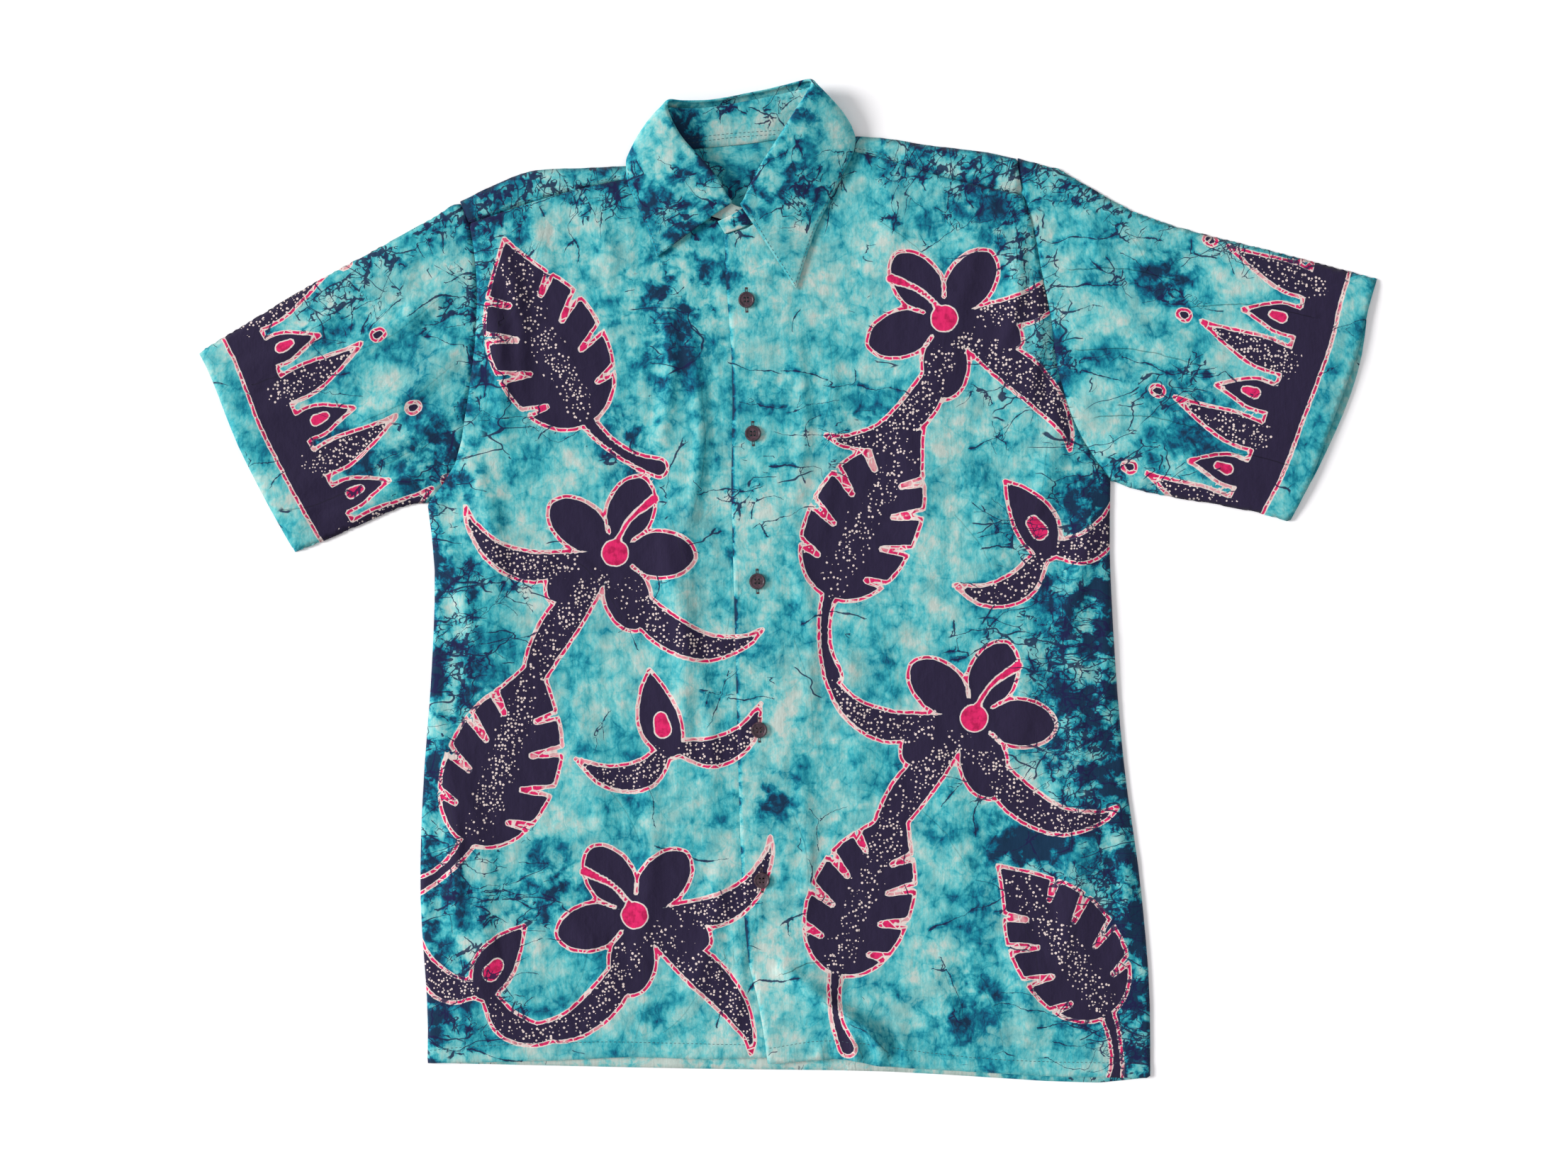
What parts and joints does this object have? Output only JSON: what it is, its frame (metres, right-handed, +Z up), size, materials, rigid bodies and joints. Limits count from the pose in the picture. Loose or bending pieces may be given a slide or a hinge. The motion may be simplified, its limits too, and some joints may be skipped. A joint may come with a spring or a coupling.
{
  "type": "batik shirt",
  "caption": "Short-sleeved dyed cotton shirt with a pointed collar on a band and a button front, laid flat on its back.",
  "frame": {"origin": "middle of the outline, on the surface that the shirt lies on", "axes": "+X to the wearer's left, +Y from hem to collar, +Z up out of the surface"},
  "size_m": [0.881, 0.7516, 0.0214],
  "materials": {
    "dyed_cotton": "plain-woven cotton, tie-dyed turquoise with dark wax crackle and hand-printed motifs",
    "inside_cotton": "paler inside of the same cotton",
    "plum_button": "satin plum-brown polyester"
  },
  "bodies": {
    "root": {"back": "dyed_cotton", "front_right": "dyed_cotton", "front_left": "dyed_cotton", "sleeve_right": "dyed_cotton", "sleeve_left": "dyed_cotton", "collar_band": "inside_cotton", "collar": "dyed_cotton", "button_1": "plum_button", "button_2": "plum_button", "button_3": "plum_button", "button_4": "plum_button", "button_5": "plum_button"}
  },
  "joints": []
}
